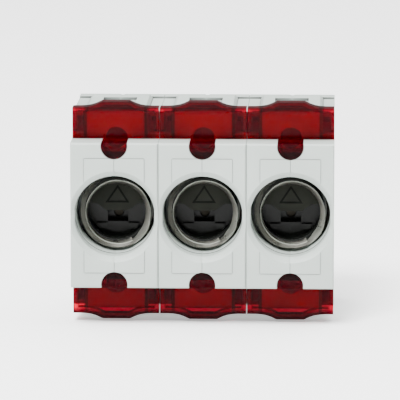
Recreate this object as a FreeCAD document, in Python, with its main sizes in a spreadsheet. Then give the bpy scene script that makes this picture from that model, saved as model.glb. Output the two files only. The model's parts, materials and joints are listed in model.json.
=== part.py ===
import FreeCAD, Part
import math
import os
import Sketcher

# Three-pole screw-in fuse base (E18 sockets) for a 35 mm top-hat rail.
# X runs across the poles, Z is up as mounted, the sockets open toward -Y.
# The origin is the middle of the face that rests on the rail.

os.makedirs("parts", exist_ok=True)
doc = FreeCAD.newDocument("fuse_base")

# name, value in mm, meaning
DIMENSIONS = [
    ("pole_pitch", 27.0, "width of one pole"),
    ("half_width", 13.45, "half width of one pole's housing"),
    ("front", 47.0, "front face, ahead of the rail face"),
    ("block_top", 22.5, "half height of the raised front block"),
    ("panel_half", 9.2, "half width of the raised front panel"),
    ("panel_top", 17.7, "half height of the raised front panel"),
    ("panel_lift", 0.2, "how far the front panel stands proud"),
    ("tower_face", 35.8, "front of the terminal tower under the cover"),
    ("tower_half", 9.8, "half width of the terminal tower"),
    ("tower_bevel", 1.0, "bevel along the tower"),
    ("tower_top", 31.5, "outer end of the terminal tower"),
    ("flange_face", 1.5, "front of the rear flange"),
    ("side_floor", 24.0, "floor of the recess beside the tower"),
    ("side_roof", 30.3, "outer end of the housing beside the tower"),
    ("side_wall", 1.15, "outer wall of the hollow beside the tower"),
    ("flange_top", 30.9, "outer end of the rear flange"),
    ("foot_back", 5.5, "rear end of the feet, behind the rail face"),
    ("rail_edge", 17.5, "half height of the rail"),
    ("rail_thick", 1.0, "thickness of the rail brim"),
    ("hook_grip", 1.3, "how far hook and latch reach over the brim"),
    ("lower_foot", 18.9, "start of the lower foot"),
    ("well_z", -0.3, "height of the socket axis"),
    ("well_mouth_r", 13.95, "socket mouth at the front face"),
    ("well_r", 12.45, "socket bore that guides the screw cap"),
    ("well_step_r", 12.25, "socket bore around the thread"),
    ("well_flat", 12.25, "flat side walls of the socket bore"),
    ("well_step", 41.0, "step in the socket bore"),
    ("well_back", 33.0, "rear end of the socket bore"),
    ("chamber_half_x", 12.3, "half width of the chamber behind the bore"),
    ("chamber_half_z", 13.2, "half height of the chamber behind the bore"),
    ("well_flat_half", 4.0, "half height of the flat side walls"),
    ("coil_front", 39.4, "front end of the thread coil"),
    ("coil_inner_r", 9.1, "inner radius of the thread coil"),
    ("coil_outer_r", 9.65, "outer radius of the thread coil"),
    ("coil_cone", 15.0, "half angle by which the coil widens to the rear"),
    ("coil_pitch", 3.0, "pitch of the E18 thread"),
    ("coil_strip", 2.1, "width of the coil strip"),
    ("coil_rise", 6.75, "axial rise of the coil"),
    ("chamber_back", 26.8, "rear wall of the coil chamber"),
    ("coil_turn", 150.0, "clock angle of the free end of the coil"),
    ("nose_front", 30.0, "front of the insert"),
    ("insert_back", 18.6, "rear of the insert"),
    ("insert_r", 10.2, "radius of the insert"),
    ("insert_rim_r", 9.3, "inner radius of the rim around the insert"),
    ("insert_rim_front", 32.6, "front of the rim around the insert"),
    ("insert_bore_r", 10.5, "bore for the insert flange"),
    ("insert_bore_back", 16.0, "rear wall of the insert bore"),
    ("plate_front", 28.1, "front of the load contact plate"),
    ("plate_thick", 1.0, "thickness of the contact plates"),
    ("plate_half", 11.2, "half side of the load contact plate"),
    ("plate_hole_r", 10.6, "hole in the load contact plate"),
    ("wing_half", 4.9, "half height of the side wings"),
    ("wing_front", 30.2, "front end of the side wings"),
    ("bar_half", 3.4, "half width of the contact bars"),
    ("bar_front", 20.1, "front of the contact bar in the clamp"),
    ("bar_thick", 1.2, "thickness of the contact bar in the clamp"),
    ("bar_end", 26.2, "outer end of the contact bar"),
    ("screw_z", 22.3, "height of the terminal screw axis"),
    ("screw_hole_r", 3.75, "screwdriver hole"),
    ("screw_head_front", 31.6, "front of the screw head"),
    ("screw_head_r", 3.3, "radius of the screw head"),
    ("screw_head_thick", 2.8, "thickness of the screw head"),
    ("screw_r", 2.5, "radius of the M5 shank"),
    ("cage_hole_r", 2.55, "radius of the threaded cage hole"),
    ("cage_front", 24.7, "front of the open cage"),
    ("cage_back", 9.4, "rear of the open cage"),
    ("cage_half_x", 4.8, "half width of the cage"),
    ("cage_half_z", 4.5, "half length of the cage"),
    ("cage_wall", 1.2, "side wall of the cage"),
    ("cage_plate", 2.0, "threaded plate of the cage"),
    ("cell_half", 5.6, "half width of the clamp chamber"),
    ("cell_front", 28.2, "front of the clamp chamber"),
    ("cell_back", 9.0, "rear of the clamp chamber"),
    ("cell_low", 17.5, "inner end of the clamp chamber"),
    ("cell_high", 28.6, "outer end of the clamp chamber"),
    ("wire_r", 3.6, "wire entry"),
    ("wire_y", 14.4, "wire entry axis, ahead of the rail face"),
    ("wire_slot_front", 21.4, "front end of the wire entry recess"),
    ("wire_slot_back", 8.2, "rear end of the wire entry recess"),
    ("wire_slot_deep", 0.8, "depth of the wire entry recess"),
    ("wire_slot_half", 5.25, "half width of the wire entry recess"),
    ("notch_r", 4.1, "half-round notch in the block edge"),
    ("notch_z", 21.57, "centre height of the notch"),
    ("plug_r", 3.92, "half-round plug of the cover"),
    ("cover_face", 37.3, "front of the terminal cover"),
    ("cover_wall", 1.2, "wall of the terminal cover"),
    ("cover_rim", 1.5, "rim of the terminal cover along its outer side"),
    ("cover_half", 13.35, "half width of the terminal cover"),
    ("cover_low", 22.7, "inner edge of the cover face"),
    ("cover_top", 32.2, "outer face of the terminal cover at its sides"),
    ("cover_back", 32.0, "rear edge of the terminal cover"),
    ("cover_side_low", 24.8, "inner end of the cover side walls"),
    ("bulge_top", 33.9, "outer face of the cover in the middle"),
    ("bulge_flat", 4.25, "half width of the flat middle of the bulge"),
    ("bulge_run", 10.8, "where the bulge begins to rise"),
    ("pin_r", 1.25, "radius of the housing rivets"),
    ("pin_hole_r", 1.3, "rivet holes"),
    ("latch_half", 5.0, "half width of the latch tongue"),
    ("latch_wing", 6.5, "half width of the latch guide wings"),
    ("latch_front", 1.35, "front face of the latch"),
    ("latch_back", 4.6, "rear face of the latch"),
    ("latch_wing_back", 2.6, "rear of the latch wings"),
    ("latch_tail", 34.3, "lower end of the latch"),
    ("spring_top", 21.0, "upper end of the latch spring"),
    ("spring_low", 27.4, "fixed lower end of the latch spring"),
    ("spring_r", 1.1, "mean radius of the latch spring"),
    ("spring_wire_r", 0.2, "wire radius of the latch spring"),
]


class Size:
    """A length: its present value and the sheet expression that gives it."""

    def __init__(self, text, value):
        self.text = text
        self.value = value

    def _with(self, sign, other, value, swap=False):
        term = other.text if isinstance(other, Size) else f"{other:g}"
        first, second = (term, self.text) if swap else (self.text, term)
        return Size(f"({first} {sign} {second})", value)

    def __add__(self, other):
        return self._with("+", other, self.value + number(other))

    def __radd__(self, other):
        return self._with("+", other, number(other) + self.value, swap=True)

    def __sub__(self, other):
        return self._with("-", other, self.value - number(other))

    def __rsub__(self, other):
        return self._with("-", other, number(other) - self.value, swap=True)

    def __mul__(self, other):
        return self._with("*", other, self.value * number(other))

    def __rmul__(self, other):
        return self._with("*", other, number(other) * self.value, swap=True)

    def __neg__(self):
        return Size(f"(0 - {self.text})", -self.value)


def number(size):
    return size.value if isinstance(size, Size) else float(size)


def bind(thing, path, size):
    """Drive a property from the sheet, or set it when it is a plain number."""
    if isinstance(size, Size):
        thing.setExpression(path, size.text)
    elif isinstance(size, (int, float)) and "." not in path:
        setattr(thing, path, size)
    else:
        thing.setExpression(path, f"{size:g}")


def make_sheet():
    sheet = doc.addObject("Spreadsheet::Sheet", "Dims")
    sizes = {}
    for row, (name, value, meaning) in enumerate(DIMENSIONS, start=1):
        sheet.set(f"A{row}", name)
        sheet.set(f"B{row}", str(value))
        sheet.set(f"C{row}", meaning)
        sheet.setAlias(f"B{row}", name)
        sizes[name] = Size(f"Dims.{name}", value)
    doc.recompute()
    return sizes


D = make_sheet()


# ---- building blocks ------------------------------------------------------

def new_body(label, pole=0, socket_part=False):
    """An empty body, moved sideways to its pole (-1, 0 or 1) and to the socket axis."""
    body = doc.addObject("PartDesign::Body", label)
    body.Label = label
    bind(body, "Placement.Base.x", D["pole_pitch"] * pole)
    if socket_part:
        bind(body, "Placement.Base.z", D["well_z"])
    return body


def origin_item(body, role):
    return [item for item in body.Origin.OriginFeatures if item.Role == role][0]


def new_sketch(body, plane, offset):
    """Sketch on an origin plane; XZ sketches lie at y = -offset."""
    sketch = body.newObject("Sketcher::SketchObject", "sketch")
    sketch.AttachmentSupport = [(origin_item(body, plane + "_Plane"), "")]
    sketch.MapMode = "FlatFace"
    if number(offset) or isinstance(offset, Size):
        bind(sketch, "AttachmentOffset.Base.z", offset)
    return sketch


def draw_polygon(sketch, points):
    first = len(sketch.Geometry)
    count = len(points)
    spots = [FreeCAD.Vector(number(u), number(v), 0) for u, v in points]
    for i in range(count):
        sketch.addGeometry(Part.LineSegment(spots[i], spots[(i + 1) % count]), False)
    for i in range(count):
        sketch.addConstraint(Sketcher.Constraint(
            "Coincident", first + i, 2, first + (i + 1) % count, 1))
    for i, (u, v) in enumerate(points):
        for kind, size in (("DistanceX", u), ("DistanceY", v)):
            place = sketch.addConstraint(Sketcher.Constraint(
                kind, -1, 1, first + i, 1, number(size)))
            if isinstance(size, Size):
                sketch.setExpression(f"Constraints[{place}]", size.text)


def draw_circle(sketch, centre_u, centre_v, radius):
    first = len(sketch.Geometry)
    centre = FreeCAD.Vector(number(centre_u), number(centre_v), 0)
    up = FreeCAD.Vector(0, 0, 1)
    sketch.addGeometry(Part.Circle(centre, up, number(radius)), False)
    for kind, size in (("DistanceX", centre_u), ("DistanceY", centre_v)):
        place = sketch.addConstraint(Sketcher.Constraint(kind, -1, 1, first, 3, number(size)))
        if isinstance(size, Size):
            sketch.setExpression(f"Constraints[{place}]", size.text)
    place = sketch.addConstraint(Sketcher.Constraint("Radius", first, number(radius)))
    if isinstance(radius, Size):
        sketch.setExpression(f"Constraints[{place}]", radius.text)


def box_points(u0, u1, v0, v1):
    return [(u0, v0), (u1, v0), (u1, v1), (u0, v1)]


def extrude(body, kind, plane, low, high, polygons=(), circles=()):
    """Pad or Pocket from low to high along the world axis across the plane."""
    start = -high if plane == "XZ" else low
    sketch = new_sketch(body, plane, start)
    for points in polygons:
        draw_polygon(sketch, points)
    for circle in circles:
        draw_circle(sketch, *circle)
    feature = body.newObject("PartDesign::" + kind, kind.lower())
    feature.Profile = sketch
    bind(feature, "Length", high - low)
    if kind == "Pocket":
        feature.Reversed = True
    return finish_feature(body, feature, kind == "Pad")


def turn(body, kind, points, height=0):
    """Revolution or Groove of a (y, radius) outline about an axis along Y at a height."""
    sketch = new_sketch(body, "YZ", 0)
    if isinstance(height, Size):
        bind(sketch, "AttachmentOffset.Base.y", height)
    draw_polygon(sketch, points)
    feature = body.newObject("PartDesign::" + kind, kind.lower())
    feature.Profile = sketch
    feature.ReferenceAxis = (sketch, ["H_Axis"])
    feature.Angle = 360
    return finish_feature(body, feature, kind == "Revolution")


def finish_feature(body, feature, adds):
    """Recompute and make sure the feature went the way it should."""
    before = feature.BaseFeature.Shape.Volume if feature.BaseFeature else 0.0
    doc.recompute()
    change = feature.Shape.Volume - before
    if feature.Shape.isNull() or (change > 0) != adds or abs(change) < 1e-6:
        raise RuntimeError(f"{body.Label}: {feature.Name} changed the volume by {change:.3f}")
    body.Tip = feature
    return feature


def mirrored(points, side):
    return [(side * u, v) for u, v in points]


def flipped(points, up):
    return [(u, up * v) for u, v in points]


def span(side, inner, outer):
    """Low and high end of a strip between two distances on one side."""
    return (inner, outer) if side > 0 else (-outer, -inner)


# ---- housing --------------------------------------------------------------

def housing_outline():
    """Side view (y, z) of the housing with the rail seat and the fixed hook."""
    rail_top = D["rail_edge"] + 0.3
    hook_low = D["rail_edge"] - D["hook_grip"]
    hook_front = D["rail_thick"] + 0.2
    seat_top = D["cover_top"] - D["cover_rim"] - 0.3
    seat_back = D["cover_back"] - 0.3
    bevel = 0.5
    upper = [
        (-D["front"], D["block_top"] - bevel), (bevel - D["front"], D["block_top"]),
        (-D["tower_face"], D["block_top"]), (-D["tower_face"], seat_top - bevel),
        (bevel - D["tower_face"], seat_top), (-seat_back, seat_top),
        (-seat_back, D["tower_top"]), (-D["flange_face"], D["tower_top"]),
        (-D["flange_face"], D["flange_top"]), (D["foot_back"] - 1.0, D["flange_top"]),
        (D["foot_back"], D["flange_top"] - 1.0)]
    hook = [
        (D["foot_back"], hook_low + 0.8), (D["foot_back"] - 1.2, hook_low),
        (hook_front, hook_low), (hook_front, rail_top), (0, rail_top)]
    lower_foot = [(0, -D["lower_foot"]), (D["foot_back"], -D["lower_foot"])]
    return upper + hook + lower_foot + [(y, -z) for y, z in reversed(upper)]


def cut_well(body, side):
    """The socket: bevelled mouth, stepped bore with flat sides, chamber, insert bore."""
    axis = D["well_z"]
    bevel = D["well_mouth_r"] - D["well_r"]
    turn(body, "Groove", [
        (-D["front"] - 0.5, 0), (-D["front"] - 0.5, D["well_r"]), (-D["well_step"], D["well_r"]),
        (-D["well_step"], D["well_step_r"]), (-D["chamber_back"] - 1.0, D["well_step_r"]),
        (-D["chamber_back"] - 1.0, D["insert_bore_r"]),
        (-D["insert_bore_back"], D["insert_bore_r"]), (-D["insert_bore_back"], 0)], axis)
    low, high = span(side, D["well_flat"], D["half_width"])
    extrude(body, "Pad", "XZ", -D["front"], -D["well_back"],
            [box_points(low, high, -D["well_flat_half"], D["well_flat_half"])])
    turn(body, "Groove", [
        (-D["front"] - 0.5, 0), (-D["front"] - 0.5, D["well_mouth_r"] + 0.5),
        (bevel - D["front"], D["well_r"]), (bevel - D["front"], 0)], axis)
    low, high = span(side, 0, D["chamber_half_x"])
    extrude(body, "Pocket", "XZ", -D["well_back"], -D["chamber_back"],
            [box_points(low, high, -D["chamber_half_z"], D["chamber_half_z"])])


def cut_terminal(body, side, up):
    """Screwdriver notch, clamp chamber and wire entry of one terminal."""
    extrude(body, "Pocket", "XZ", -D["front"] - 0.5, -D["tower_face"],
            circles=[(0, up * D["notch_z"], D["notch_r"])])
    extrude(body, "Pocket", "XZ", -D["tower_face"] - 0.5, -D["cell_front"] + 0.2,
            circles=[(0, up * D["screw_z"], D["screw_hole_r"])])
    low, high = span(side, 0, D["cell_half"])
    extrude(body, "Pocket", "XZ", -D["cell_front"], -D["cell_back"],
            [flipped(box_points(low, high, D["cell_low"], D["cell_high"]), up)])
    ends = span(up, D["cell_high"] - 0.5, D["tower_top"] + 0.5)
    extrude(body, "Pocket", "XY", *ends, circles=[(0, -D["wire_y"], D["wire_r"])])
    ends = span(up, D["tower_top"] - D["wire_slot_deep"], D["tower_top"] + 0.5)
    low, high = span(side, 0, D["wire_slot_half"])
    extrude(body, "Pocket", "XY", *ends, [box_points(
        low, high, -D["wire_slot_front"], -D["wire_slot_back"])])


def cut_tower_sides(body, side, up):
    """Recess and hollow beside the terminal tower, and the bevels along the tower."""
    low, high = span(side, D["tower_half"], D["half_width"] + 0.5)
    extrude(body, "Pocket", "XZ", -D["tower_face"] - 0.5, 0.3 - D["cover_back"],
            [flipped(box_points(low, high, D["side_floor"], D["tower_top"] + 0.5), up)])
    extrude(body, "Pocket", "XZ", -D["cover_back"], -D["flange_face"],
            [flipped(box_points(low, high, D["side_roof"], D["tower_top"] + 0.5), up)])
    low, high = span(side, D["tower_half"], D["half_width"] - D["side_wall"])
    extrude(body, "Pocket", "XZ", -D["cover_back"], -8.0,
            [flipped(box_points(low, high, D["side_floor"], D["side_roof"] - 1.4), up)])
    inner = side * (D["tower_half"] - D["tower_bevel"])
    outer = side * (D["tower_half"] + 0.1)
    ends = span(up, D["side_floor"], D["tower_top"] + 0.5)
    extrude(body, "Pocket", "XY", *ends, [[
        (inner, -D["tower_face"] - 0.1), (outer, -D["tower_face"] - 0.1),
        (outer, D["tower_bevel"] - D["tower_face"])]])
    extrude(body, "Pocket", "XZ", -D["cover_back"], -D["flange_face"], [flipped([
        (inner, D["tower_top"] + 0.1), (outer, D["tower_top"] + 0.1),
        (outer, D["tower_top"] - D["tower_bevel"])], up)])


def cut_seams(body, side):
    """Fine bevels along the joints between half shells and between poles."""
    for middle, wide, front in (
            (0, 0.14, D["front"] + D["panel_lift"]), (D["half_width"] * side, -0.4, D["front"])):
        edge = side * wide
        extrude(body, "Pocket", "XY", -D["block_top"] - 0.5, D["block_top"] + 0.5, [[
            (middle - edge * 0.2, -front - 0.1), (middle + edge * 1.3, -front - 0.1),
            (middle - edge * 0.2, abs(wide) * 1.2 - front)]])
    for up in (1, -1):
        extrude(body, "Pocket", "XZ", -D["flange_face"] - 0.5, D["foot_back"] + 0.5, [flipped([
            (side * -0.1, D["flange_top"] + 0.1), (side * 0.8, D["flange_top"] + 0.1),
            (side * -0.1, D["flange_top"] - 0.8)], up)])


def cut_contact_slots(body, side):
    """Slots that lead the contact straps from the socket to the clamps."""
    low, high = span(side, 0, D["bar_half"] + 0.25)
    extrude(body, "Pocket", "XZ", -D["plate_front"] - 0.3, -D["bar_front"] + D["bar_thick"] + 0.3,
            [box_points(low, high, D["insert_bore_r"] - 0.9, D["cell_low"] + 0.5)])
    extrude(body, "Pocket", "XZ", -D["bar_front"] - 0.3, -D["insert_bore_back"],
            [box_points(low, high, -D["cell_low"] - 0.5, 0.6 - D["insert_bore_r"])])


def cut_latch_channel(body, side):
    """Open channel for the latch, with a lug that the spring stands on."""
    wing_low, wing_high = span(side, 0, D["latch_wing"] + 0.3)
    extrude(body, "Pocket", "XZ", D["latch_front"] - 0.25, D["latch_wing_back"] + 0.25,
            [box_points(wing_low, wing_high, -D["flange_top"] - 0.5, 0.1 - D["lower_foot"])])
    low, high = span(side, 0, D["latch_half"] + 0.3)
    extrude(body, "Pocket", "XZ", D["latch_wing_back"], D["foot_back"] + 0.5,
            [box_points(low, high, -D["flange_top"] - 0.5, 0.1 - D["lower_foot"])])
    low, high = span(side, 0, 1.7)
    extrude(body, "Pad", "XZ", D["latch_front"] - 0.5, D["latch_back"] - 0.2,
            [box_points(low, high, -D["spring_low"] - 1.2, -D["spring_low"])])


def rivet_spots():
    """(y, z) of the four rivets that close one pole."""
    return [(9.5 - D["front"], up * 15.5) for up in (1, -1)] + [
        (-6.0, up * 14.2) for up in (1, -1)]


def make_housing(label, side, pole):
    """One half shell of a pole; side is -1 (left) or 1 (right)."""
    body = new_body(label, pole)
    low, high = span(side, 0, D["half_width"])
    extrude(body, "Pad", "YZ", low, high, [housing_outline()])
    low, high = span(side, 0, D["panel_half"])
    extrude(body, "Pad", "XZ", -D["front"] - D["panel_lift"], -D["front"] + 0.1,
            [box_points(low, high, -D["panel_top"], D["panel_top"])])
    cut_well(body, side)
    for up in (1, -1):
        cut_terminal(body, side, up)
        cut_tower_sides(body, side, up)
    cut_seams(body, side)
    cut_contact_slots(body, side)
    cut_latch_channel(body, side)
    low, high = span(side, 0, D["half_width"] + 0.5)
    extrude(body, "Pocket", "YZ", low, high,
            circles=[(y, z, D["pin_hole_r"]) for y, z in rivet_spots()])
    return body


# ---- metal parts of the socket -------------------------------------------

def make_coil(label, pole):
    """Flat strip wound to the E18 thread, widening to the rear; its front end is free."""
    body = new_body(label, pole, socket_part=True)
    body.Placement.Rotation = FreeCAD.Rotation(
        FreeCAD.Vector(0, 1, 0), number(D["coil_turn"]))
    sketch = new_sketch(body, "YZ", 0)
    draw_polygon(sketch, [
        (-D["coil_front"], D["coil_inner_r"] + 0.35), (0.4 - D["coil_front"], D["coil_inner_r"]),
        (D["coil_strip"] - 0.4 - D["coil_front"], D["coil_inner_r"]),
        (D["coil_strip"] - D["coil_front"], D["coil_inner_r"] + 0.35),
        (D["coil_strip"] - D["coil_front"], D["coil_outer_r"]),
        (-D["coil_front"], D["coil_outer_r"])])
    helix = body.newObject("PartDesign::AdditiveHelix", "helix")
    helix.Profile = sketch
    helix.ReferenceAxis = (sketch, ["H_Axis"])
    helix.Mode = 0
    bind(helix, "Pitch", D["coil_pitch"])
    bind(helix, "Height", D["coil_rise"])
    bind(helix, "Angle", D["coil_cone"])
    finish_feature(body, helix, True)
    return body


def make_load_contact(label, pole):
    """Plate behind the coil with side wings and a strap to the upper clamp."""
    body = new_body(label, pole, socket_part=True)
    back = D["plate_front"] - D["plate_thick"]
    extrude(body, "Pad", "XZ", -D["plate_front"], -back,
            [box_points(-D["plate_half"], D["plate_half"], -D["plate_half"], D["plate_half"])])
    for side in (-1, 1):
        low, high = span(side, D["plate_half"] - 0.7, D["plate_half"])
        extrude(body, "Pad", "XZ", -D["wing_front"], -back,
                [box_points(low, high, -D["wing_half"], D["wing_half"])])
    step = D["plate_half"] + 4.0
    extrude(body, "Pad", "YZ", -D["bar_half"], D["bar_half"], [[
        (-D["plate_front"], D["plate_half"] - 0.7), (-D["plate_front"], step),
        (-D["bar_front"], step), (-D["bar_front"], D["bar_end"]),
        (D["bar_thick"] - D["bar_front"], D["bar_end"]),
        (D["bar_thick"] - D["bar_front"], step - D["bar_thick"]),
        (-back, step - D["bar_thick"]), (-back, D["plate_half"] - 0.7)]])
    extrude(body, "Pocket", "XZ", -D["plate_front"] - 0.5, -back + 0.2,
            circles=[(0, 0, D["plate_hole_r"])])
    return body


def make_centre_contact(label, pole):
    """Button at the bottom of the socket and its strap to the lower clamp."""
    body = new_body(label, pole, socket_part=True)
    front = D["insert_bore_back"] + 1.4
    back = front - D["plate_thick"]
    step = D["insert_bore_r"] + 4.8
    extrude(body, "Pad", "YZ", -D["bar_half"], D["bar_half"], [[
        (-front, 4.0), (-back, 4.0), (-back, -step),
        (D["bar_thick"] - D["bar_front"], -step), (D["bar_thick"] - D["bar_front"], -D["bar_end"]),
        (-D["bar_front"], -D["bar_end"]), (-D["bar_front"], D["bar_thick"] - step),
        (-front, D["bar_thick"] - step)]])
    extrude(body, "Pad", "XZ", -front - 1.8, -front + 0.2, circles=[(0, -2.8, 1.2)])
    return body


def make_insert(label, pole):
    """Black guard: sloped upper face with a triangle, opening to the contact."""
    body = new_body(label, pole, socket_part=True)
    nose = D["nose_front"]
    back = D["insert_back"]
    extrude(body, "Pad", "XZ", -nose, -back, circles=[(0, 0, D["insert_r"])])
    # upper face leans back toward the top
    lean = 0.46
    extrude(body, "Pocket", "YZ", -10.5, 10.5, [[
        (-nose - 1.0, -0.75), (-nose, -0.75), (5.13 - nose, 10.4), (-nose - 1.0, 10.4)]])
    # lower half steps back below a trapezoid ledge
    extrude(body, "Pocket", "XZ", -nose - 0.5, 4.6 - nose, [[
        (-10.5, 1.3), (-6.3, 1.3), (-3.45, -0.7), (3.45, -0.7), (6.3, 1.3), (10.5, 1.3),
        (10.5, -10.5), (-10.5, -10.5)]])
    # rim that stands inside the rear turns of the coil
    extrude(body, "Pad", "XZ", -D["insert_rim_front"], 5.0 - nose,
            circles=[(0, 0, D["insert_r"]), (0, 0, D["insert_rim_r"])])
    # recess with a round opening to the centre contact
    extrude(body, "Pocket", "XZ", 3.6 - nose, -back - 1.2, [box_points(-3.15, 3.15, -4.9, -0.7)])
    extrude(body, "Pocket", "XZ", -back - 1.5, 0.5 - back, circles=[(0, -2.8, 1.5)])
    # two guide ribs beside the opening
    for side in (-1, 1):
        low, high = span(side, 3.3, 6.6)
        extrude(body, "Pad", "XZ", 2.8 - nose, 5.4 - nose, [[
            (low, -5.2), (high, -5.2), (side * 4.9 + (high - low) * 0.33, -6.9),
            (side * 4.9 - (high - low) * 0.33, -6.9)]])
    # raised triangle outline on the sloped face
    sketch = new_sketch(body, "XZ", 0)
    sketch.AttachmentOffset = FreeCAD.Placement(
        FreeCAD.Vector(0, -0.75, 30.0),
        FreeCAD.Rotation(FreeCAD.Vector(1, 0, 0), -math.degrees(math.atan(lean))))
    bind(sketch, "AttachmentOffset.Base.z", nose)
    draw_polygon(sketch, [(-3.7, 2.5), (3.7, 2.5), (0, 8.2)])
    draw_polygon(sketch, [(-2.7, 3.05), (2.7, 3.05), (0, 7.2)])
    triangle = body.newObject("PartDesign::Pad", "triangle")
    triangle.Profile = sketch
    triangle.Length = 0.25
    finish_feature(body, triangle, True)
    return body


# ---- terminals ------------------------------------------------------------

def make_cage(label, up, pole):
    """Box clamp: threaded front plate, open along the wire."""
    body = new_body(label, pole)
    low, high = span(up, D["screw_z"] - D["cage_half_z"], D["screw_z"] + D["cage_half_z"])
    extrude(body, "Pad", "XY", low, high, [box_points(
        -D["cage_half_x"], D["cage_half_x"], -D["cage_front"], -D["cage_back"])])
    inside = D["cage_half_x"] - D["cage_wall"]
    extrude(body, "Pocket", "XY", low - 0.5, high + 0.5, [box_points(
        -inside, inside, D["cage_plate"] - D["cage_front"], -D["cage_back"] - D["cage_wall"])])
    extrude(body, "Pocket", "XZ", -D["cage_front"] - 0.5, D["cage_plate"] - D["cage_front"] + 0.5,
            circles=[(0, up * D["screw_z"], D["cage_hole_r"])])
    return body


def make_terminal_screw(label, up, pole):
    """M5 clamp screw with a cross and slot recess; its tip bears on the bar."""
    body = new_body(label, pole)
    centre = up * D["screw_z"]
    head_back = D["screw_head_front"] - D["screw_head_thick"]
    extrude(body, "Pad", "XZ", -D["screw_head_front"], -head_back,
            circles=[(0, centre, D["screw_head_r"])])
    extrude(body, "Pad", "XZ", -head_back - 0.2, -D["bar_front"] - 0.15,
            circles=[(0, centre, D["screw_r"])])
    front = -D["screw_head_front"]
    extrude(body, "Pocket", "XZ", front - 0.5, front + 1.5,
            [box_points(-2.8, 2.8, centre - 0.45, centre + 0.45)])
    extrude(body, "Pocket", "XZ", front - 0.5, front + 1.9,
            [box_points(-0.5, 0.5, centre - 2.0, centre + 2.0)])
    return body


def cover_outline(low, inset=0):
    """Front view (x, z) of the cover: flat sides and a bulge with hollow slopes."""
    half = D["cover_half"] - inset
    top = D["cover_top"] - inset
    run = D["bulge_run"] - D["bulge_flat"]
    rise = D["bulge_top"] - D["cover_top"]
    slope = [(0, 0), (0.25, 0.06), (0.5, 0.22), (0.72, 0.5), (0.9, 0.82), (1.0, 1.0)]
    right = [(D["bulge_run"] - run * part - inset * 0.4, top + rise * part_up)
             for part, part_up in slope]
    left = [(-x, z) for x, z in reversed(right)]
    return [(-half, low), (half, low), (half, top)] + right + left + [(-half, top)]


def make_cover(label, up, pole):
    """Translucent terminal cover; its plug fills the notch in the block."""
    body = new_body(label, pole)
    inner_face = D["cover_face"] - D["cover_wall"]
    extrude(body, "Pad", "XZ", -D["cover_face"], -D["cover_back"],
            [flipped(cover_outline(D["cover_low"]), up)])
    # hollow inside, then the side walls are cut short
    hollow = D["cover_half"] - D["cover_rim"]
    extrude(body, "Pocket", "XZ", -inner_face, 0.5 - D["cover_back"],
            [flipped(cover_outline(D["cover_low"] - 0.5, D["cover_rim"]), up)])
    for side in (-1, 1):
        low, high = span(side, hollow - 0.2, D["cover_half"] + 0.5)
        extrude(body, "Pocket", "XZ", -inner_face, 0.5 - D["cover_back"], [flipped(box_points(
            low, high, D["cover_low"] - 0.5, D["cover_side_low"]), up)])
    # half-round plug, flat side level with the edge of the block
    extrude(body, "Pad", "XZ", 0.2 - D["front"], -inner_face,
            circles=[(0, up * D["notch_z"], D["plug_r"])])
    extrude(body, "Pocket", "XZ", -D["front"], -D["cover_face"], [flipped(box_points(
        -D["plug_r"] - 0.3, D["plug_r"] + 0.3, D["block_top"], D["notch_z"] + D["plug_r"] + 0.3),
        up)])
    # recessed marks on the plug's end: a half-round field with a middle rib
    for side in (-1, 1):
        low, high = span(side, 0.45, 2.9)
        outer = 2.9 * side
        near = 0.45 * side
        extrude(body, "Pocket", "XZ", 0.1 - D["front"], 0.9 - D["front"], [flipped([
            (near, D["block_top"] - 0.6), (outer, D["block_top"] - 0.6),
            (outer, D["notch_z"] - 0.6), (1.9 * side, D["notch_z"] - 2.3),
            (near, D["notch_z"] - 3.0)], up)])
    # small raised mark at the right of the face
    extrude(body, "Pocket", "XZ", -D["cover_face"] - 0.2, 0.3 - D["cover_face"],
            [flipped(box_points(6.8, 8.0, D["cover_side_low"] + 0.3, D["cover_top"] - 1.4), up)])
    return body


# ---- rail latch -----------------------------------------------------------

def make_latch(label, pole):
    """Slider with a nose behind the rail brim and a slotted tail."""
    body = new_body(label, pole)
    nose = D["rail_edge"] - D["hook_grip"]
    extrude(body, "Pad", "YZ", -D["latch_half"], D["latch_half"], [[
        (D["latch_front"], -nose), (D["latch_front"] + 1.0, -nose),
        (D["latch_back"], -nose - 1.8), (D["latch_back"], -D["latch_tail"] + 0.6),
        (D["latch_back"] - 0.6, -D["latch_tail"]), (D["latch_front"], -D["latch_tail"])]])
    extrude(body, "Pad", "XZ", D["latch_front"], D["latch_wing_back"], [box_points(
        -D["latch_wing"], D["latch_wing"], 0.6 - D["flange_top"], -D["lower_foot"] - 0.4)])
    extrude(body, "Pocket", "XZ", D["latch_front"] - 0.5, D["latch_back"] + 0.5, [box_points(
        -2.1, 2.1, -D["spring_low"] - 1.5, -D["spring_top"])])
    extrude(body, "Pocket", "XZ", D["latch_front"] - 0.5, D["latch_back"] + 0.5, [box_points(
        -2.2, 2.2, 1.0 - D["latch_tail"], 2.0 - D["latch_tail"])])
    return body


def make_latch_spring(label, pole):
    """Compression spring between the housing lug and the latch."""
    body = new_body(label, pole)
    middle = D["latch_front"] + 1.6
    sketch = new_sketch(body, "XZ", 0)
    draw_circle(sketch, D["spring_r"], D["spring_wire_r"] - D["spring_low"], D["spring_wire_r"])
    helix = body.newObject("PartDesign::AdditiveHelix", "helix")
    helix.Profile = sketch
    helix.ReferenceAxis = (sketch, ["V_Axis"])
    helix.Mode = 0
    bind(helix, "Height", D["spring_low"] - D["spring_top"] - 2 * D["spring_wire_r"])
    bind(helix, "Pitch", (D["spring_low"] - D["spring_top"] - 2 * D["spring_wire_r"]) * 0.125)
    finish_feature(body, helix, True)
    bind(body, "Placement.Base.y", middle)
    return body


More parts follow.
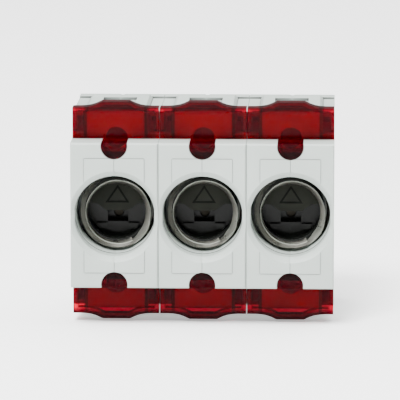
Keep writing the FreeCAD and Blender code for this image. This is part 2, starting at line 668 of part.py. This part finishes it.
def make_rivets(label):
    """All rivets of the three poles, kept as one group of separate solids."""
    pins = []
    for pole in (-1, 0, 1):
        for y, z in rivet_spots():
            pin = doc.addObject("Part::Cylinder", f"{label}_pin")
            bind(pin, "Radius", D["pin_r"])
            bind(pin, "Height", D["half_width"] * 2 - 0.2)
            pin.Placement = FreeCAD.Placement(
                FreeCAD.Vector(0, 0, 0), FreeCAD.Rotation(FreeCAD.Vector(0, 1, 0), 90))
            bind(pin, "Placement.Base.x", D["pole_pitch"] * pole - D["half_width"] + 0.1)
            bind(pin, "Placement.Base.y", y)
            bind(pin, "Placement.Base.z", z)
            pins.append(pin)
    group = doc.addObject("Part::Compound", label)
    group.Label = label
    group.Links = pins
    doc.recompute()
    return group


# ---- the whole device -----------------------------------------------------

def make_pole(number_text, pole):
    nodes = [
        make_housing(f"housing_left_{number_text}", -1, pole),
        make_housing(f"housing_right_{number_text}", 1, pole),
        make_coil(f"thread_coil_{number_text}", pole),
        make_load_contact(f"load_contact_{number_text}", pole),
        make_centre_contact(f"centre_contact_{number_text}", pole),
        make_insert(f"insert_{number_text}", pole),
        make_latch(f"latch_{number_text}", pole),
        make_latch_spring(f"latch_spring_{number_text}", pole),
    ]
    for word, up in (("upper", 1), ("lower", -1)):
        nodes.append(make_cage(f"cage_{word}_{number_text}", up, pole))
        nodes.append(make_terminal_screw(f"terminal_screw_{word}_{number_text}", up, pole))
        nodes.append(make_cover(f"cover_{word}_{number_text}", up, pole))
    return nodes


def main():
    nodes = []
    for number_text, pole in (("1", -1), ("2", 0), ("3", 1)):
        nodes.extend(make_pole(number_text, pole))
    nodes.append(make_rivets("rivets"))
    doc.recompute()
    for thing in doc.Objects:
        if "Invalid" in thing.State or "Error" in thing.State:
            raise RuntimeError(f"{thing.Label} did not compute: {thing.State}")
    for node in nodes:
        shape = node.Shape
        if shape.isNull() or not shape.isValid() or not shape.Solids:
            raise RuntimeError(f"{node.Label} has no valid solid")
        shape.exportStep(f"parts/{node.Label}.step")
        print(f"{node.Label}: {len(shape.Solids)} solid(s), {shape.Volume:.1f} mm3")


main()
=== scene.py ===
import json
import math

import bmesh
import bpy
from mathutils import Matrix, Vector


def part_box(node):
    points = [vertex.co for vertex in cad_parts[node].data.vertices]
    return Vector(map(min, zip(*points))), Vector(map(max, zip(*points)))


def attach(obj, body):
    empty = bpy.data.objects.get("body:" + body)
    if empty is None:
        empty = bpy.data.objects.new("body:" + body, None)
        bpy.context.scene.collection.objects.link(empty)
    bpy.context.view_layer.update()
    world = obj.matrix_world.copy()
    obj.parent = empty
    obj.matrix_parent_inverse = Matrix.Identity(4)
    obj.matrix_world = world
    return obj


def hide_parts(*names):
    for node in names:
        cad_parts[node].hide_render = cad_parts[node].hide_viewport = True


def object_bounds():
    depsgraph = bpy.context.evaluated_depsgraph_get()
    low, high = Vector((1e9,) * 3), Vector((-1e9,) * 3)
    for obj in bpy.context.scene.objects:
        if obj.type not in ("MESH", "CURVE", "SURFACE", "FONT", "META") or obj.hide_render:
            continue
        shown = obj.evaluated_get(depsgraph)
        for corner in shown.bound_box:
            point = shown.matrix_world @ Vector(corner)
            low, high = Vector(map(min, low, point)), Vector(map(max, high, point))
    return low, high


# Lengths are in metres unless a name or a comment says otherwise.

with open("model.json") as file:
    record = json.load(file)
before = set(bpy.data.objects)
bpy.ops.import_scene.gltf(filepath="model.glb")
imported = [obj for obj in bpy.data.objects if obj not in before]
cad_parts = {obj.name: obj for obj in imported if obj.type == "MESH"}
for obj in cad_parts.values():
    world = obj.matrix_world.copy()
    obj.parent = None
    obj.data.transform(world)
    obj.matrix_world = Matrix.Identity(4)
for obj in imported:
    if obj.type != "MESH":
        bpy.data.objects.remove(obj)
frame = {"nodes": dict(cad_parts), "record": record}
cad_low, cad_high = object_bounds()
nodes = frame["nodes"]

FRONT_Y = -0.0470           # front face
SOCKET_Z = -0.0003          # height of the socket axis


# ---- camera, lights, floor -------------------------------------------------

# fitted to the photo
AZIMUTH = math.radians(2.03)
ELEVATION = math.radians(9.25)
DISTANCE = 1.153
VIEW_WIDTH = 0.12254902     # what the picture shows across, at the aim
AIM_RIGHT, AIM_UP = -0.000628, 0.005034
SENSOR_MM = 36

FLOOR_GAP = 0.0005          # between the lowest piece and the floor


def make_camera():
    """A long lens a little above and to the right of the straight front view."""
    back = Vector((math.sin(AZIMUTH) * math.cos(ELEVATION),
                   -math.cos(AZIMUTH) * math.cos(ELEVATION), math.sin(ELEVATION)))
    turn = (-back).to_track_quat("-Z", "Y")
    right, up = turn @ Vector((1, 0, 0)), turn @ Vector((0, 1, 0))
    aim = Vector((0, FRONT_Y, 0)) + right * AIM_RIGHT + up * AIM_UP
    data = bpy.data.cameras.new("camera")
    data.sensor_width = SENSOR_MM
    data.lens = SENSOR_MM * DISTANCE / VIEW_WIDTH
    data.clip_start, data.clip_end = 0.05, 20
    camera = bpy.data.objects.new("camera", data)
    camera.location = aim + back * DISTANCE
    camera.rotation_mode = "QUATERNION"
    camera.rotation_quaternion = turn
    bpy.context.scene.collection.objects.link(camera)
    bpy.context.scene.camera = camera


def area_light(name, place, target, size, power):
    """A soft rectangular light that faces its target."""
    data = bpy.data.lights.new(name, "AREA")
    data.shape = "RECTANGLE"
    data.size, data.size_y = size
    data.energy = power
    light = bpy.data.objects.new(name, data)
    light.location = place
    light.rotation_mode = "QUATERNION"
    light.rotation_quaternion = (Vector(target) - Vector(place)).to_track_quat("-Z", "Y")
    bpy.context.scene.collection.objects.link(light)


def make_stage():
    """Even light from above, a key light from the front left, and a glowing pale floor."""
    world = bpy.data.worlds.new("studio")
    bpy.context.scene.world = world
    world.use_nodes = True
    background = world.node_tree.nodes["Background"]
    background.inputs["Color"].default_value = (1.0, 1.0, 1.0, 1)
    background.inputs["Strength"].default_value = 0.22
    area_light("sky", place=(0, 0.6, 2.2), target=(0, 0.6, 0), size=(4.4, 4.0), power=250)
    area_light("key", place=(-0.35, -0.95, 1.25), target=(0, -0.02, 0), size=(0.6, 0.6),
               power=78)

    mesh = bpy.data.meshes.new("floor")
    grid = bmesh.new()
    bmesh.ops.create_grid(grid, x_segments=8, y_segments=8, size=4.0)
    grid.to_mesh(mesh)
    grid.free()
    floor = bpy.data.objects.new("floor", mesh)
    floor.location = (0, 0, cad_low.z - FLOOR_GAP)
    bpy.context.scene.collection.objects.link(floor)
    material, _, shader = new_material("floor")
    shader.inputs["Base Color"].default_value = (0.88, 0.88, 0.88, 1)
    shader.inputs["Roughness"].default_value = 0.8
    shader.inputs["Emission Color"].default_value = (1, 1, 1, 1)
    shader.inputs["Emission Strength"].default_value = 0.5
    floor.data.materials.append(material)


# ---- materials -------------------------------------------------------------

NOISE_LOW, NOISE_HIGH = 0.3, 0.7    # the part of a noise that looks are spread over


def new_material(name):
    material = bpy.data.materials.new(name)
    material.use_nodes = True
    tree = material.node_tree
    return material, tree, tree.nodes["Principled BSDF"]


def add_noise(tree, scale, detail, rough=0.5, stretch=(1, 1, 1)):
    """Noise that is fixed to the object's own coordinates."""
    coords = tree.nodes.new("ShaderNodeTexCoord")
    mapping = tree.nodes.new("ShaderNodeMapping")
    mapping.inputs["Scale"].default_value = stretch
    noise = tree.nodes.new("ShaderNodeTexNoise")
    noise.inputs["Scale"].default_value = scale
    noise.inputs["Detail"].default_value = detail
    noise.inputs["Roughness"].default_value = rough
    tree.links.new(coords.outputs["Object"], mapping.inputs["Vector"])
    tree.links.new(mapping.outputs["Vector"], noise.inputs["Vector"])
    return noise


def add_ramp(tree, source, low, high):
    """Colours from low to high over the span of a noise."""
    ramp = tree.nodes.new("ShaderNodeValToRGB")
    first, last = ramp.color_ramp.elements
    first.position, first.color = NOISE_LOW, (*low, 1)
    last.position, last.color = NOISE_HIGH, (*high, 1)
    tree.links.new(source, ramp.inputs["Fac"])
    return ramp


def add_range(tree, source, low, high):
    """Values from low to high over the span of a noise."""
    span = tree.nodes.new("ShaderNodeMapRange")
    span.inputs["From Min"].default_value = NOISE_LOW
    span.inputs["From Max"].default_value = NOISE_HIGH
    span.inputs["To Min"].default_value = low
    span.inputs["To Max"].default_value = high
    tree.links.new(source, span.inputs["Value"])
    return span


def add_bump(tree, shader, source, strength, distance):
    bump = tree.nodes.new("ShaderNodeBump")
    bump.inputs["Strength"].default_value = strength
    bump.inputs["Distance"].default_value = distance
    tree.links.new(source, bump.inputs["Height"])
    tree.links.new(bump.outputs["Normal"], shader.inputs["Normal"])


def add_hollow_shade(tree, color, reach, depth, same_piece=True):
    """Darken a colour in corners and hollows, or in the seams to other pieces.

    reach is how far away a wall still counts, and depth what is left of the colour at
    the darkest.
    """
    shade = tree.nodes.new("ShaderNodeAmbientOcclusion")
    shade.only_local = same_piece
    shade.samples = 8
    shade.inputs["Distance"].default_value = reach
    span = tree.nodes.new("ShaderNodeMapRange")
    span.inputs["From Min"].default_value = 0.25
    span.inputs["From Max"].default_value = 0.95
    span.inputs["To Min"].default_value = depth
    span.inputs["To Max"].default_value = 1.0
    tree.links.new(shade.outputs["AO"], span.inputs["Value"])
    darker = tree.nodes.new("ShaderNodeVectorMath")
    darker.operation = "SCALE"
    tree.links.new(color, darker.inputs[0])
    tree.links.new(span.outputs["Result"], darker.inputs["Scale"])
    return darker.outputs["Vector"]


def along(tree, axis):
    """0 at the low end of the piece and 1 at its high end along one axis."""
    coords = tree.nodes.new("ShaderNodeTexCoord")
    split = tree.nodes.new("ShaderNodeSeparateXYZ")
    tree.links.new(coords.outputs["Generated"], split.inputs[0])
    return split.outputs[axis]


def edge_distance(tree, axis):
    """0 in the middle of the piece and 1 at its two ends along one axis."""
    centred = tree.nodes.new("ShaderNodeMath")
    centred.operation = "MULTIPLY_ADD"
    centred.inputs[1].default_value = 2.0
    centred.inputs[2].default_value = -1.0
    tree.links.new(along(tree, axis), centred.inputs[0])
    size = tree.nodes.new("ShaderNodeMath")
    size.operation = "ABSOLUTE"
    tree.links.new(centred.outputs[0], size.inputs[0])
    return size.outputs[0]


def add_bands(tree, source, stops):
    """Grey tones at stops along a distance, blended evenly in between."""
    ramp = tree.nodes.new("ShaderNodeValToRGB")
    points = ramp.color_ramp.elements
    while len(points) < len(stops):
        points.new(0.5)
    for point, (place, tone) in zip(points, stops):
        point.position = place
        point.color = (tone, tone, tone, 1)
    tree.links.new(source, ramp.inputs["Fac"])
    return ramp.outputs["Color"]


def multiply(tree, first, second):
    product = tree.nodes.new("ShaderNodeVectorMath")
    product.operation = "MULTIPLY"
    tree.links.new(first, product.inputs[0])
    tree.links.new(second, product.inputs[1])
    return product.outputs["Vector"]


def add_moulded_skin(tree, shader, tone, rough, scale, strength):
    """Roughness that follows the tone between two values, and a fine moulded grain."""
    span = add_range(tree, tone.outputs["Fac"], *rough)
    tree.links.new(span.outputs["Result"], shader.inputs["Roughness"])
    grain = add_noise(tree, scale, detail=2)
    add_bump(tree, shader, grain.outputs["Fac"], strength, distance=0.0001)


def housing_material():
    material, tree, shader = new_material("housing_white")
    tone = add_noise(tree, scale=60, detail=4)
    ramp = add_ramp(tree, tone.outputs["Fac"], (0.330, 0.370, 0.343), (0.366, 0.406, 0.379))
    shaded = add_hollow_shade(tree, ramp.outputs["Color"], reach=0.005, depth=0.04)
    shaded = add_hollow_shade(tree, shaded, reach=0.00028, depth=0.1, same_piece=False)
    tree.links.new(shaded, shader.inputs["Base Color"])
    add_moulded_skin(tree, shader, tone, rough=(0.42, 0.52), scale=2600, strength=0.12)
    return material


def red_material():
    material, tree, shader = new_material("red_translucent")
    tone = add_noise(tree, scale=90, detail=3)
    ramp = add_ramp(tree, tone.outputs["Fac"], (0.43, 0.0002, 0.014), (0.50, 0.0004, 0.020))
    # painted, as nothing in the CAD makes the darker sides and ends of the photo
    sides = add_bands(tree, edge_distance(tree, "X"), [
        (0.65, 1.0), (0.67, 0.45), (0.73, 0.48), (0.75, 0.90), (0.91, 0.80), (0.93, 1.1)])
    ends = add_bands(tree, edge_distance(tree, "Z"), [(0.70, 1.0), (0.75, 0.22)])
    toned = multiply(tree, multiply(tree, ramp.outputs["Color"], sides), ends)
    tree.links.new(toned, shader.inputs["Base Color"])
    shader.inputs["IOR"].default_value = 1.12
    shader.inputs["Transmission Weight"].default_value = 0.965
    shader.inputs["Specular IOR Level"].default_value = 0.2
    add_moulded_skin(tree, shader, tone, rough=(0.05, 0.10), scale=700, strength=0.04)
    return material


def black_material(name, rough, low=(0.006, 0.007, 0.006), high=(0.012, 0.013, 0.011),
                   shine=0.10):
    """Black plastic; rough is its lowest roughness."""
    material, tree, shader = new_material(name)
    shader.inputs["Specular IOR Level"].default_value = shine
    tone = add_noise(tree, scale=120, detail=3)
    ramp = add_ramp(tree, tone.outputs["Fac"], low, high)
    tree.links.new(ramp.outputs["Color"], shader.inputs["Base Color"])
    add_moulded_skin(tree, shader, tone, (rough, rough + 0.08), scale=1500, strength=0.06)
    return material


def metal_material(name, low, high, rough, stretch=(1, 1, 1), scale=900, bump=0.05,
                   depth_shade=None):
    """Metal with a fine grain, which stretch draws out into lines.

    The last argument gives painted shade: darker from the front of the piece to the back, as
    the strip goes deeper into the socket.
    """
    material, tree, shader = new_material(name)
    shader.inputs["Metallic"].default_value = 1.0
    tone = add_noise(tree, scale=140, detail=4)
    ramp = add_ramp(tree, tone.outputs["Fac"], low, high)
    color = ramp.outputs["Color"]
    if depth_shade:
        color = multiply(tree, color, add_bands(tree, along(tree, "Y"), depth_shade))
    tree.links.new(color, shader.inputs["Base Color"])
    lines = add_noise(tree, scale, detail=3, rough=0.6, stretch=stretch)
    span = add_range(tree, lines.outputs["Fac"], rough, rough + 0.14)
    tree.links.new(span.outputs["Result"], shader.inputs["Roughness"])
    add_bump(tree, shader, lines.outputs["Fac"], bump, distance=0.00005)
    return material


def paint(node, material):
    data = nodes[node].data
    data.materials.clear()
    data.materials.append(material)


def paint_nodes():
    """Looks by the longest start of the node's name that is listed here.

    Screws and contacts are far darker than the record says, because the photo shows
    only dark holes and gaps there; that darkness is painted shade.
    """
    looks = {
        "housing": housing_material(),
        "cover": red_material(),
        "insert": black_material("guard_black", 0.16),
        "latch": black_material("latch_black", 0.38),
        # painted shade: the coil darkens towards the back, deeper in the socket
        "thread_coil": metal_material(
            "nickel", (0.50, 0.485, 0.44), (0.62, 0.605, 0.56), 0.26, scale=260, bump=0.004,
            depth_shade=[(0.30, 1.0), (0.44, 0.55), (1.0, 0.45)]),
        # painted shade: the tinned contact is darkened, as it sits in deep shade
        "load_contact": metal_material(
            "tinned_painted_shade", (0.085, 0.09, 0.08), (0.13, 0.135, 0.125), 0.3, stretch=(1, 1, 12)),
        # painted shade: near black, as the contact lies deep in the shaded socket
        "centre_contact": metal_material(
            "contact_painted_shade", (0.022, 0.020, 0.016), (0.045, 0.04, 0.032), 0.45, stretch=(1, 1, 12)),
        "cage": metal_material(
            "zinc", (0.50, 0.51, 0.52), (0.66, 0.67, 0.69), 0.32, stretch=(1, 12, 1)),
        # painted shade: near black screws, as they sit in dark holes
        "terminal_screw": metal_material(
            "screw_zinc_painted_shade", (0.012, 0.012, 0.012), (0.03, 0.03, 0.028), 0.30),
        "rivets": metal_material(
            "rivet_steel", (0.48, 0.48, 0.47), (0.64, 0.64, 0.63), 0.30),
        "latch_spring": metal_material(
            "spring_steel", (0.34, 0.34, 0.35), (0.52, 0.52, 0.53), 0.25),
    }
    for name in nodes:
        kind = max((start for start in looks if name.startswith(start)), key=len)
        paint(name, looks[kind])


# ---- pieces with rounded edges ----------------------------------------------

# width of the rounded edges by kind of piece, and the number of faces across each
EDGES = {"housing": (0.00016, 2), "insert": (0.00009, 2), "cover": (0.00022, 3)}
SAME_POINT = 0.000004       # corners nearer than this are joined
FLAT, SHARP = math.radians(0.5), math.radians(35)

# sloped upper face of the insert: its lower front edge and its lean
SLOPE_Y = -0.0300
SLOPE_Z = SOCKET_Z - 0.00075
LEAN = 0.46                 # backwards per unit of height


def rounded_copy(node, body, slot, width, segments):
    """The node's own shape and material with its sharp edges rounded over."""
    mesh = nodes[node].data.copy()
    shape = bmesh.new()
    shape.from_mesh(mesh)
    bmesh.ops.remove_doubles(shape, verts=shape.verts, dist=SAME_POINT)
    bmesh.ops.dissolve_limit(shape, angle_limit=FLAT, verts=shape.verts, edges=shape.edges)
    shape.to_mesh(mesh)
    shape.free()
    mesh.name = node + "_rounded"
    piece = bpy.data.objects.new(node + "_rounded", mesh)
    bpy.context.scene.collection.objects.link(piece)
    bevel = piece.modifiers.new("edges", "BEVEL")
    bevel.width = width
    bevel.segments = segments
    bevel.limit_method = "ANGLE"
    bevel.angle_limit = SHARP
    bevel.use_clamp_overlap = True
    bevel.harden_normals = True
    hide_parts(node)
    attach(piece, body)
    return piece


def mark_insert(piece, pale):
    """Painted light on the sloped upper face: a paler satin black, as that face catches more
    light; the raised triangle stays black.
    """
    piece.data.materials.append(pale)
    for face in piece.data.polygons:
        spot = face.center
        slope_y = SLOPE_Y + LEAN * (spot.z - SLOPE_Z)
        leans = face.normal.z > 0.3 and face.normal.y < -0.8
        in_front = spot.y < slope_y - 0.0001    # the triangle stands 0.25 mm proud
        if leans and not in_front:
            face.material_index = 1


def round_edges():
    """Rounded copies of the moulded pieces in place of their nodes."""
    # painted light: a paler black for the insert's sloped upper face, which catches more light
    pale = black_material("guard_face_painted_light", 0.3, (0.020, 0.021, 0.017), (0.030, 0.031, 0.025), 0.2)
    slots = {part["node"]: part["material_slot"] for part in frame["record"]["subparts"]}
    for body, members in frame["record"]["behaviour"]["bodies"].items():
        for node in members:
            kind = node.split("_")[0]
            if kind in EDGES:
                piece = rounded_copy(node, body, slots[node], *EDGES[kind])
                if kind == "insert":
                    mark_insert(piece, pale)


# ---- thread coil ------------------------------------------------------------

MM = 0.001
PITCH = 0.003               # depth of one turn
TURNS = 2.25
STEPS = 216                 # cross-sections along the strip
FREE_END = -60              # degrees from +X towards +Z: 5 o'clock from the front
CREASE = math.radians(38)

# turns from the free front end, inner radius and visible width of the strip in mm
COIL = [(0.0, 8.95, 0.85), (0.04, 8.95, 0.75), (0.1, 8.95, 0.5), (0.25, 8.95, 0.32),
        (0.42, 8.95, 0.34), (0.58, 8.95, 0.7), (0.75, 8.95, 1.0), (0.85, 8.97, 1.35),
        (0.94, 9.35, 1.7), (1.02, 10.3, 1.05), (1.12, 10.3, 1.0), (1.33, 9.95, 1.15),
        (1.5, 10.3, 0.8), (1.6, 10.8, 0.5), (2.0, 11.3, 0.48), (2.25, 11.4, 0.45)]


def coil_sizes(turn):
    """Inner radius and width after some turns, eased between the rows of COIL."""
    for (t0, r0, w0), (t1, r1, w1) in zip(COIL, COIL[1:]):
        if turn <= t1 + 1e-9:
            part = (turn - t0) / (t1 - t0)
            part = part * part * (3 - 2 * part)
            return r0 + (r1 - r0) * part, w0 + (w1 - w0) * part
    return COIL[-1][1:]


def make_coil(number):
    """Flat strip wound to the thread, from its free front end into the socket."""
    node = "thread_coil_" + number
    low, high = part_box(node)
    middle_x = (low.x + high.x) / 2
    shape = bmesh.new()
    rings = []
    for step in range(STEPS + 1):
        turn = TURNS * step / STEPS
        radius, width = coil_sizes(turn)
        angle = math.radians(FREE_END - 360 * turn)
        front = low.y + PITCH * turn + 0.0001
        section = [  # corners of the strip: radius in mm, depth in metres
            (radius + width, front), (radius + width + 0.30, front + 0.0002),
            (radius + width * 0.3 + 0.32, front + 0.0017), (radius, front + 0.0016),
            (radius - 0.02, front + 0.0013), (radius + width * 0.55, front + 0.0006)]
        rings.append([shape.verts.new((
            middle_x + r * MM * math.cos(angle), y, SOCKET_Z + r * MM * math.sin(angle)))
            for r, y in section])
    count = len(rings[0])
    for a, b in zip(rings, rings[1:]):
        for k in range(count):
            shape.faces.new((a[k], a[(k + 1) % count], b[(k + 1) % count], b[k]))
    shape.faces.new(rings[0][::-1])
    shape.faces.new(rings[-1])
    bmesh.ops.recalc_face_normals(shape, faces=shape.faces)
    for face in shape.faces:
        face.smooth = True
    mesh = bpy.data.meshes.new("coil_strip_" + number)
    shape.to_mesh(mesh)
    shape.free()
    mesh.set_sharp_from_angle(angle=CREASE)
    mesh.materials.append(nodes[node].data.materials[0])
    piece = bpy.data.objects.new("coil_strip_" + number, mesh)
    bpy.context.scene.collection.objects.link(piece)
    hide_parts(node)
    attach(piece, "base")


make_camera()
make_stage()
paint_nodes()
round_edges()
for number in ("1", "2", "3"):
    make_coil(number)
